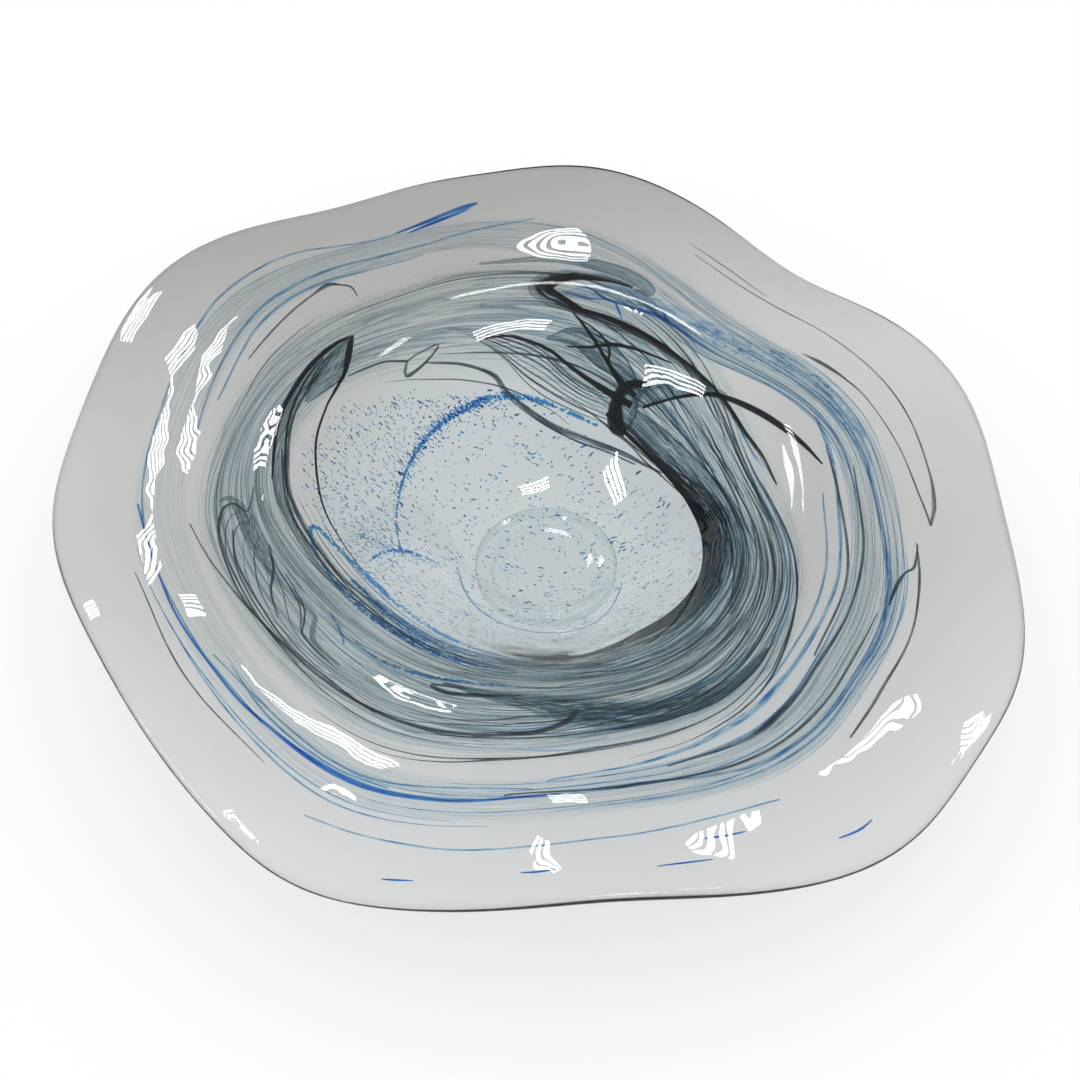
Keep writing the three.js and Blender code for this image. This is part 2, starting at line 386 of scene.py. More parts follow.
def make_ribbon_tree():
    """Draws strokes of colour along flat paths, each point with its own width."""
    tree, ins = new_tree("Drawn colour", {
        "Depth": 3.0, "Thickness": COLOUR_LAYER, "Step": 1.5, "Sides": 12})
    curve = result_of(tree, "GeometryNodeMeshToCurve", {0: ins["Geometry"]})
    bent = result_of(tree, "GeometryNodeCurveSplineType", {"Curve": curve}, spline_type="CATMULL_ROM")
    even = result_of(tree, "GeometryNodeResampleCurve", {"Curve": bent, "Length": ins["Step"]}, mode="LENGTH")
    upright = result_of(tree, "GeometryNodeSetCurveNormal", {"Curve": even}, mode="Z_UP")
    length = add_node(tree, "GeometryNodeSplineParameter").outputs["Length"]
    measured = stored(tree, upright, "along", length, "FLOAT")
    ring = result_of(tree, "GeometryNodeCurvePrimitiveCircle", {"Resolution": ins["Sides"], "Radius": 0.5})
    position = result_of(tree, "GeometryNodeInputPosition")
    section = result_of(tree, "ShaderNodeVectorMath", {0: position, 1: (2, 2, 2)}, operation="MULTIPLY")
    width = named(tree, "width", "FLOAT")
    solid = result_of(tree, "GeometryNodeCurveToMesh", {
        "Curve": measured, "Profile Curve": stored(tree, ring, "section", section),
        "Scale": width, "Fill Caps": True})
    _, lift, _ = parts(tree, named(tree, "section", "FLOAT_VECTOR"))
    height = lift * -0.5 * width.math("MINIMUM", 1.0) * ins["Thickness"] - ins["Depth"]
    x, y, _ = parts(tree, position)
    return end_tree(tree, ins, moved(tree, solid, joined(tree, x, y, height)))


def make_veil_tree():
    """Spreads a ring between two wandering edges; "flow" follows the spun streaks."""
    sizes = {"Inner Edge": 88.0, "Outer Edge": 150.0}
    for edge in tuple(sizes):
        for number in (1, 2):
            for what, default in (("Bearing", 0.0), ("Amount", 0.0), ("Spread", 40.0)):
                sizes[f"{edge} {number} {what}"] = default
    tree, ins = new_tree("Veil of colour", sizes)
    x, y, z = parts(tree, result_of(tree, "GeometryNodeInputPosition"))
    turn = y.math("ARCTAN2", x)
    bearing = turn.math("DEGREES")

    def edge_at(edge):
        bumps = [[ins[f"{edge} {number} {what}"] for what in ("Bearing", "Amount", "Spread")]
                 for number in (1, 2)]
        return lobes(tree, bearing, bumps) + ins[edge]

    across = off_axis(x, y) - 1.0
    inner = edge_at("Inner Edge")
    radius = inner + across * (edge_at("Outer Edge") - inner)
    cosine, sine = turn.math("COSINE"), turn.math("SINE")
    streaked = stored(tree, ins["Geometry"], "flow", joined(tree, cosine, sine, across))
    return end_tree(tree, ins, moved(tree, streaked, joined(tree, radius * cosine, radius * sine, z)))


def make_frit_tree():
    """Scatters small drawn-out chips over the flat floor, crowded along an arc and in two patches."""
    tree, ins = new_tree("Scattered chips", {
        "Seed": 3, "Sparse": 0.075, "Crowded": 0.15, "Arc": 1.5, "Depth": 3.2, "Depth Spread": 2.2,
        "Length": 2.2})
    x, y, _ = parts(tree, result_of(tree, "GeometryNodeInputPosition"))
    radius = off_axis(x, y)
    bearing = y.math("ARCTAN2", x).math("DEGREES")
    edge = lobes(tree, bearing, FLOOR_EDGE) + (CLEAR_FLOOR_EDGE - 3.0)
    arc = lobes(tree, bearing, [ARC_LOBE]) + ARC_RADIUS
    branch = bell((bearing.math("WRAP", 360.0, 0.0) - BRANCH_BEARING) / BRANCH_WIDTH)
    branch = branch * radius.rise(50, 56) * radius.rise(94, 88)
    density = (edge - radius).rise(0, 6) * (
        ins["Sparse"]
        + ins["Crowded"] * lobes(tree, bearing, [(122, 1.0, 46)]) * radius.ease(60, 84)
        + ins["Crowded"] * lobes(tree, bearing, [(-165, 0.9, 24)]) * radius.ease(56, 80)
        + ins["Arc"] * bell((radius - arc) / ARC_WIDTH) * lobes(tree, bearing, [(124, 1.0, 36)])
        + ins["Arc"] * 0.5 * branch)
    spots = result_of(tree, "GeometryNodeDistributePointsOnFaces", {
        "Mesh": ins["Geometry"], "Density": density, "Seed": ins["Seed"]}, distribute_method="RANDOM")

    def chance(low, high, order):
        """A random number for each chip."""
        node = add_node(tree, "FunctionNodeRandomValue", {"Seed": order}, data_type="FLOAT")
        low_place, high_place = [socket for socket in node.inputs if socket.enabled][:2]
        feed(tree, low_place, low)
        feed(tree, high_place, high)
        return Field(tree, node.outputs[1])

    drawn = chance(0.0, 1.0, 11) ** 5.0 * 1.5 + 0.35
    lean = chance(-0.5, 0.5, 13) + x * 0.007
    put = result_of(tree, "GeometryNodeInstanceOnPoints", {
        "Points": spots,
        "Instance": result_of(tree, "GeometryNodeMeshIcoSphere", {"Radius": 0.5, "Subdivisions": 1}),
        "Rotation": joined(tree, z=lean),
        "Scale": joined(tree, drawn * ins["Length"], chance(0.35, 1.05, 12), 0.3)})
    depth = chance(0.0, 1.0, 14) * ins["Depth Spread"] + ins["Depth"]
    lowered = result_of(tree, "GeometryNodeTranslateInstances", {
        "Instances": put, "Translation": joined(tree, z=depth * -1.0), "Local Space": False})
    toned = stored(tree, lowered, "tone", chance(0.0, 1.0, 15), "FLOAT", "INSTANCE")
    return end_tree(tree, ins, result_of(tree, "GeometryNodeRealizeInstances", {"Geometry": toned}))


slump_group = make_slump_group()
layer_tree = make_layer_tree()
ribbon_tree = make_ribbon_tree()
veil_tree = make_veil_tree()
frit_tree = make_frit_tree()


# ---- Shader groups ----

def make_stain_group():
    """What is left of white light after a depth of coloured glass."""
    group, ins = new_group(
        "Stained light", "ShaderNodeTree", {"Density": 1.0, "Tint": (0.5, 0.5, 0.5, 1)}, {"Color": "Color"})
    split = add_node(group, "ShaderNodeSeparateColor", {0: ins["Tint"]})
    dimmed = [Field(group, socket) ** ins["Density"] for socket in split.outputs]
    put_out(group, Color=result_of(group, "ShaderNodeCombineColor", dict(enumerate(dimmed))))
    return group


def make_streak_group():
    """Streaks drawn out along a flow: Soft is cloudy, Folds has one sharp side, Lines are hair-thin."""
    group, ins = new_group(
        "Spun streaks", "ShaderNodeTree",
        {"Flow": "Vector", "Round": 1.0, "Across": 6.0, "Wander": 0.1, "Fold Count": 6.0, "Seed": 0.0},
        {"Soft": "Float", "Folds": "Float", "Lines": "Float"})
    x, y, across = parts(group, ins["Flow"])
    turns = ins["Round"]
    bend = joined(group, x * turns * 1.6 + ins["Seed"], y * turns * 1.6, across * 2.2)
    moved_over = across + (noise(group, bend, 1.0, 2.0) - 0.5) * ins["Wander"]
    strand = joined(group, x * turns + ins["Seed"], y * turns, moved_over * ins["Across"])
    count = noise(group, strand, 1.0, 2.5) * ins["Fold Count"]
    folded = count.math("FRACT")
    put_out(
        group,
        Soft=noise(group, strand, 1.0, 7.0, 0.62).ease(0.3, 0.72),
        Folds=folded ** 3.0 * folded.rise(1.0, 0.97),
        Lines=((count * 2.0).math("FRACT") - 0.5).math("ABSOLUTE").ease(0.09, 0.0))
    return group


stain_group = make_stain_group()
streak_group = make_streak_group()


# ---- Glass ----

SMOKE_TINT = (0.125, 0.205, 0.24, 1)
BLACK_TINT = (0.085, 0.115, 0.14, 1)
BLUE_TINT = (0.05, 0.22, 0.52, 1)
DEEP_BLUE_TINT = (0.04, 0.22, 0.70, 1)
SPECKLE_TINT = (0.04, 0.25, 0.66, 1)
LACE_TINT = (0.06, 0.24, 0.60, 1)
CHIP_TINT, DARK_CHIP_TINT = (0.03, 0.22, 0.60, 1), (0.06, 0.08, 0.12, 1)
# The brim tints carry painted light and shade: the front one is lighter and the back one is painted shade.
BRIM_FRONT_LIGHT, BRIM_SIDE, BRIM_BACK_SHADE = (0.87, 0.88, 0.875, 1), (0.64, 0.65, 0.635, 1), (0.42, 0.425, 0.415, 1)
CLEAR_FLOOR_TINT = (0.775, 0.825, 0.83, 1)
# The foot's rim tint is a painted edge line, standing in for the outline that refraction and reflection would
# draw on glass that bends light.
FOOT_TINT, FOOT_EDGE_SHADE_TINT = (0.97, 0.985, 0.985, 1), (0.66, 0.76, 0.78, 1)
SHADOW_SHADE = 0.05


def glass_material(name, ior, colour_of, bump_of=None, coat=0.0):
    """Glass that lets light through to what lies behind it instead of throwing a hard shadow."""
    material = bpy.data.materials.new(name)
    material.use_nodes = True
    tree = material.node_tree
    tree.nodes.clear()
    colour = colour_of(tree)
    glass = add_node(tree, "ShaderNodeBsdfPrincipled", {
        "Base Color": colour, "Roughness": 0.0, "IOR": ior, "Transmission Weight": 1.0,
        "Coat Weight": coat, "Coat Roughness": 0.0})
    if bump_of:
        feed(tree, glass.inputs["Normal"], bump_of(tree))
    thin = result_of(tree, "ShaderNodeGamma", {"Color": colour, "Gamma": SHADOW_SHADE})
    through = result_of(tree, "ShaderNodeBsdfTransparent", {"Color": thin})
    light = add_node(tree, "ShaderNodeLightPath")
    mixed = result_of(tree, "ShaderNodeMixShader", {
        0: light.outputs["Is Shadow Ray"], 1: glass.outputs[0], 2: through})
    add_node(tree, "ShaderNodeOutputMaterial", {"Surface": mixed})
    return material


def object_place(tree):
    return add_node(tree, "ShaderNodeTexCoord").outputs["Object"]


def tint_between(tree, factor, low, high):
    mixed = add_node(tree, "ShaderNodeMix", {"Factor": factor}, data_type="RGBA")
    feed(tree, mixed.inputs[6], low)
    feed(tree, mixed.inputs[7], high)
    return mixed.outputs[2]


def clear_colour_with_painted_shade(tree):
    """Faintly cloudy, with painted shade on the brim: lighter at its front, darker towards its back and left,
    and colder over the floor.
    """
    place = object_place(tree)
    x, y, _ = parts(tree, place)
    from_axis = off_axis(x - FOOT_AXIS.x, y - FOOT_AXIS.y) / MM
    cloud = (noise(tree, place, 7.0, 2.0) - 0.5) * 0.4
    # Painted shade: the brim's tint darkens from its front to its back and left.
    brim = tint_between(tree, cloud + y.ease(-0.2, 0.0), BRIM_FRONT_LIGHT, BRIM_SIDE)
    brim = tint_between(tree, (y - x * 0.25).ease(0.05, 0.22), brim, BRIM_BACK_SHADE)
    return tint_between(tree, from_axis.ease(WELL_END, FOOT_RADIUS * 2), brim, CLEAR_FLOOR_TINT)


def foot_colour_with_painted_edges(tree):
    """Clear, with a faint green-grey line painted at the pad's rim and where it starts to rest: painted edge
    shade in place of the outline that refraction and reflection would draw.
    """
    place = object_place(tree)
    x, y, _ = parts(tree, place)
    radius = off_axis(x - FOOT_AXIS.x, y - FOOT_AXIS.y) / MM
    # Painted edge shade: a tinted ring at the pad's rim and its resting edge, since this glass bends and
    # reflects no light there.
    line = radius.ease(REST_INNER + 1.2, REST_INNER) * radius.ease(REST_INNER - 1.2, REST_INNER)
    rim = radius.ease(FOOT_RADIUS - 1.6, FOOT_RADIUS) + line * 0.5
    return tint_between(tree, rim * 0.8 + noise(tree, place, 40.0, 2.0) * 0.2, FOOT_TINT, FOOT_EDGE_SHADE_TINT)


def handmade_ripple(tree):
    """Slow waves left in the surface."""
    slow = noise(tree, object_place(tree), 26.0, 1.5)
    return result_of(tree, "ShaderNodeBump", {"Strength": 1.0, "Distance": 0.0006, "Height": slow})


def attribute(tree, name, output="Vector"):
    return Field(tree, add_node(tree, "ShaderNodeAttribute", attribute_name=name).outputs[output])


def stained(tree, density, tint):
    return use_group(tree, stain_group, {"Density": density, "Tint": tint})[0]


def streaks(tree, flow, turns, across, wander, folds, seed):
    return use_group(tree, streak_group, {
        "Flow": flow, "Round": turns, "Across": across, "Wander": wander, "Fold Count": folds, "Seed": seed})


def veil_place(tree):
    """The flow vector of a veil, its bearing and how far it is across from the inner edge."""
    flow = attribute(tree, "flow")
    x, y, across = parts(tree, flow)
    return flow, y.math("ARCTAN2", x).math("DEGREES"), across


def inner_smoke_colour(tree):
    """Dense streaks against the clear floor, thinning outwards."""
    flow, bearing, across = veil_place(tree)
    soft, folds, lines = streaks(tree, flow, 0.42, 15.0, 0.16, 9.0, 2.0)
    amount = lobes(tree, bearing, [(-25, 0.55, 52), (-95, 0.2, 36), (60, 0.25, 30), (165, 0.14, 60)])
    inner_bank = across.rise(0.55, 0.0) * 0.8 + 0.5
    softened = lobes(tree, bearing, [(130, 0.35, 60)]) + 0.03
    edges = (across / softened).ease(0.0, 1.0) * across.ease(1.0, 0.8)
    density = (soft * 0.35 + folds * 2.0 + lines * 0.9) * inner_bank * (amount + 0.16) * edges
    return stained(tree, density, SMOKE_TINT)


def outer_smoke_colour(tree):
    """Broad, softer smoke over the shoulder, bluer in places."""
    flow, bearing, across = veil_place(tree)
    soft, folds, lines = streaks(tree, flow, 0.45, 10.0, 0.3, 6.0, 21.0)
    haze, _, blue_lines = streaks(tree, flow, 0.6, 9.0, 0.25, 5.0, 47.0)
    amount = lobes(tree, bearing, [(-65, 0.42, 50), (75, 0.34, 36), (-160, 0.3, 44), (150, 0.2, 40)])
    edges = across.ease(0.0, 0.35) * across.ease(1.0, 0.8)
    density = (soft * 0.3 + folds * 1.0 + lines * 0.6) * (amount + 0.08) * edges
    blue = (haze.ease(0.55, 0.95) * 0.35 + blue_lines * 0.5).math("MINIMUM", 1.0)
    return stained(tree, density, tint_between(tree, blue, SMOKE_TINT, BLUE_TINT))


def blue_haze_colour(tree):
    """Pale blue-grey bands with finer blue lines in them."""
    flow, bearing, across = veil_place(tree)
    soft, folds, lines = streaks(tree, flow, 0.45, 9.0, 0.2, 6.0, 71.0)
    fine, blue_folds, blue_lines = streaks(tree, flow, 0.6, 13.0, 0.16, 6.0, 93.0)
    amount = lobes(tree, bearing, [(-40, 0.5, 34), (40, 0.42, 34), (120, 0.26, 50), (-120, 0.16, 40)])
    edges = across.ease(0.0, 0.12) * across.ease(1.0, 0.8)
    density = soft * 0.25 + folds * 0.5 + lines * 0.5 + blue_folds * 0.4 + blue_lines * 0.5
    blue = (fine.ease(0.45, 0.9) * 0.4 + blue_lines * 0.4).math("MINIMUM", 1.0)
    return stained(tree, density * (amount + 0.05) * edges, tint_between(tree, blue, SMOKE_TINT, BLUE_TINT))


def rounded(across, power):
    """Full in the middle of a stroke and nothing at its sides."""
    return (across * across * -1.0 + 1.0).math("MAXIMUM", 0.0) ** power


def folded_black(tree, across, soft, folds, lines):
    """Solid against its inner edge and breaking into streaks on the other side."""
    solid = (across + soft * 0.9 - 0.2).ease(-0.1, 0.7)
    frayed = (across + soft * 0.9).ease(-0.95, 0.6)
    return (solid * 2.0 + frayed * (folds * 2.4 + lines * 0.9 + 0.2)) * across.rise(1.0, 0.95)


def dense_black(tree, across, soft, folds, lines):
    """Nearly opaque in the middle with soft thin sides."""
    return rounded(across, 0.6) * (soft * 1.6 + 1.4)


def soft_black(tree, across, soft, folds, lines):
    """Blue-black that is all strands, with nothing at its sides."""
    return rounded(across, 1.0) * (soft * 0.9 + folds * 1.2 + lines * 0.7 + 0.05)


def membrane(tree, across, soft, folds, lines):
    """A thin grey film that gathers into dark edges."""
    edge = (across * across) ** 7.0 * across.math("ABSOLUTE").rise(1.0, 0.97)
    return edge * 2.2 + soft * 0.2 + folds * 0.7 + lines * 0.3 + 0.1


def film(tree, across, soft, folds, lines):
    """A fainter film with soft darker folds."""
    return (soft * 0.35 + folds * 0.6 + lines * 0.45 + 0.05) * across.math("ABSOLUTE").ease(1.0, 0.7)


def fine_black(tree, across, soft, folds, lines):
    """A drawn black line that comes and goes along its length."""
    return rounded(across, 0.8) * (soft * 1.6 + 0.12)


def blue_thread(tree, across, soft, folds, lines):
    """A pale blue line, broken where the glass was drawn thin."""
    return rounded(across, 1.0) * (soft * soft * 1.5 + lines * 0.5 + 0.06)


def saturated_blue(tree, across, soft, folds, lines):
    """The strongest blue, a little uneven."""
    return rounded(across, 0.8) * (soft * 1.5 + 0.45)


def speckled_blue(tree, across, soft, folds, lines):
    """Blue broken up into specks, crowded in the middle of the stroke."""
    place = object_place(tree)
    grain = noise(tree, place, 620.0, 2.0)
    patches = noise(tree, place, 110.0, 2.0)
    specks = (grain + rounded(across, 1.0) * 0.16 + patches * 0.4 - 0.28).ease(0.46, 0.56)
    return specks * rounded(across, 0.5) * 0.85


def blue_lace(tree, across, soft, folds, lines):
    """A torn net of blue: thin walls between clear cells, drawn out along the flow."""
    net = joined(tree, attribute(tree, "along", "Fac") * 0.07, 3.0, across * 1.3)
    bend = add_node(tree, "ShaderNodeTexNoise", {"Vector": net, "Scale": 1.6, "Detail": 4.0})
    swing = result_of(tree, "ShaderNodeVectorMath", {0: bend.outputs["Color"], 1: (1.8, 1.8, 1.8)},
                      operation="MULTIPLY")
    warped = result_of(tree, "ShaderNodeVectorMath", {0: net, 1: swing}, operation="ADD")
    wall = result_of(tree, "ShaderNodeTexVoronoi", {"Vector": warped, "Scale": 1.5},
                     feature="DISTANCE_TO_EDGE").ease(0.06, 0.0)
    torn = noise(tree, warped, 1.7, 5.0).ease(0.45, 0.62)
    sides = across.math("ABSOLUTE").ease(1.0, 0.6)
    return (wall * (torn + 0.15) * 0.9 + torn * 0.12 + soft * 0.1 + lines * torn * 0.5) * sides


def stroke_colour(density_of, streak_settings, tint):
    """The colour of a finish; place across a stroke runs from -1 outside to 1 towards the middle."""
    def colour(tree):
        across = parts(tree, attribute(tree, "section"))[0]
        flow = joined(tree, attribute(tree, "along", "Fac") * 0.02, 0.0, across)
        bands = streaks(tree, flow, *streak_settings) if streak_settings else (None, None, None)
        return stained(tree, density_of(tree, across, *bands), tint)
    return colour


def frit_colour(tree):
    """Mostly blue chips, with a dark one here and there."""
    tone = attribute(tree, "tone", "Fac")
    tint = tint_between(tree, tone.rise(0.9, 0.93), CHIP_TINT, DARK_CHIP_TINT)
    return stained(tree, tone * 1.2 + 0.3, tint)


# Each finish: its density, streaks (round, across, wander, fold count, seed), tint and slot.
FINISHES = {
    "folded black": (folded_black, (1.0, 3.4, 0.5, 8.0, 5.0), BLACK_TINT, "black_glass"),
    "dense black": (dense_black, (1.0, 2.0, 0.4, 5.0, 31.0), BLACK_TINT, "black_glass"),
    "soft black": (soft_black, (1.0, 4.2, 0.6, 8.0, 44.0), SMOKE_TINT, "smoke_glass"),
    "membrane": (membrane, (1.0, 3.6, 0.6, 7.0, 63.0), SMOKE_TINT, "smoke_glass"),
    "film": (film, (1.4, 2.8, 0.9, 7.0, 55.0), SMOKE_TINT, "smoke_glass"),
    "fine black": (fine_black, (2.2, 1.4, 0.6, 5.0, 12.0), BLACK_TINT, "black_glass"),
    "blue thread": (blue_thread, (3.2, 2.0, 0.8, 5.0, 8.0), BLUE_TINT, "blue_glass"),
    "saturated blue": (saturated_blue, (2.0, 1.6, 0.5, 5.0, 18.0), DEEP_BLUE_TINT, "blue_glass"),
    "speckled blue": (speckled_blue, None, SPECKLE_TINT, "blue_glass"),
    "blue lace": (blue_lace, (1.5, 3.4, 1.0, 4.0, 28.0), LACE_TINT, "blue_glass"),
}

clear_glass = glass_material("Clear glass", 1.5, clear_colour_with_painted_shade, handmade_ripple)
foot_glass = glass_material("Clear foot glass", 1.0, foot_colour_with_painted_edges, handmade_ripple, coat=1.0)
colour_glass = {
    finish: (glass_material(finish.capitalize() + " glass", 1.0, stroke_colour(*settings)), slot)
    for finish, (*settings, slot) in FINISHES.items()}


# ---- The clear body and its foot ----

def make_body():
    """Both gathers in one skin, with a round lip."""
    lip = WALL * (1 - THINNING) / 2
    edge = RIM_RADIUS - lip + LIP_REACH
    radii = spread(0, edge, 2.5)
    outline = [(radius, -WALL) for radius in radii]
    for step in range(1, LIP_STEPS):
        swing = math.pi * step / LIP_STEPS
        outline.append((edge + lip * math.sin(swing), -WALL / 2 - WALL / 2 * math.cos(swing)))
    outline += [(radius, 0) for radius in reversed(radii)]
    mesh = turned("clear_body", outline, BODY_STEPS)
    body = finished("clear_body", mesh, layer_tree, clear_glass, {"Ripple": 0.5})
    settle(body, ["inner_gather", "outer_gather"])


def underside(radius):
    """Plan radius and height of the underside below a spot of the flat floor."""
    well = min(max((radius - WELL_START) / (WELL_END - WELL_START), 0), 1)
    height = WELL_DEPTH * (1 - math.cos(math.pi * well)) / 2
    slope = WELL_DEPTH * math.pi / 2 * math.sin(math.pi * well) / (WELL_END - WELL_START)
    steepness = math.hypot(1, slope)
    sunk = WALL * (1 + THICKENING * (1 - radius / THICKENING_START) ** 2)
    return radius + sunk * slope / steepness, FLOOR_HEIGHT + height - sunk / steepness


def make_foot():
    """The ground pad: dished below, with a rounded edge and a top that follows the underside."""
    dish = spread(0, REST_INNER, 1.5)
    outline = [(radius, DISH_DEPTH * (1 - (radius / REST_INNER) ** 2)) for radius in dish]
    for swing in spread(0, math.pi / 2, math.pi / 12):
        out, up = REST_ROUNDING * (1 - math.sin(swing)), REST_ROUNDING * (1 - math.cos(swing))
        outline.append((FOOT_RADIUS - out, up))
    for radius in reversed(spread(0, FOOT_TOP, 1.5)):
        plan, height = underside(radius)
        outline.append((plan, height - FOOT_GAP))
    mesh = turned("punty_pad", outline, FOOT_STEPS)
    for vertex in mesh.vertices:
        vertex.co = vertex.co * MM + FOOT_AXIS
    mesh.materials.append(foot_glass)
    settle(shown("punty_pad", mesh), ["punty_foot"])


make_body()
make_foot()

# ---- Ribbons, threads and folds of colour ----

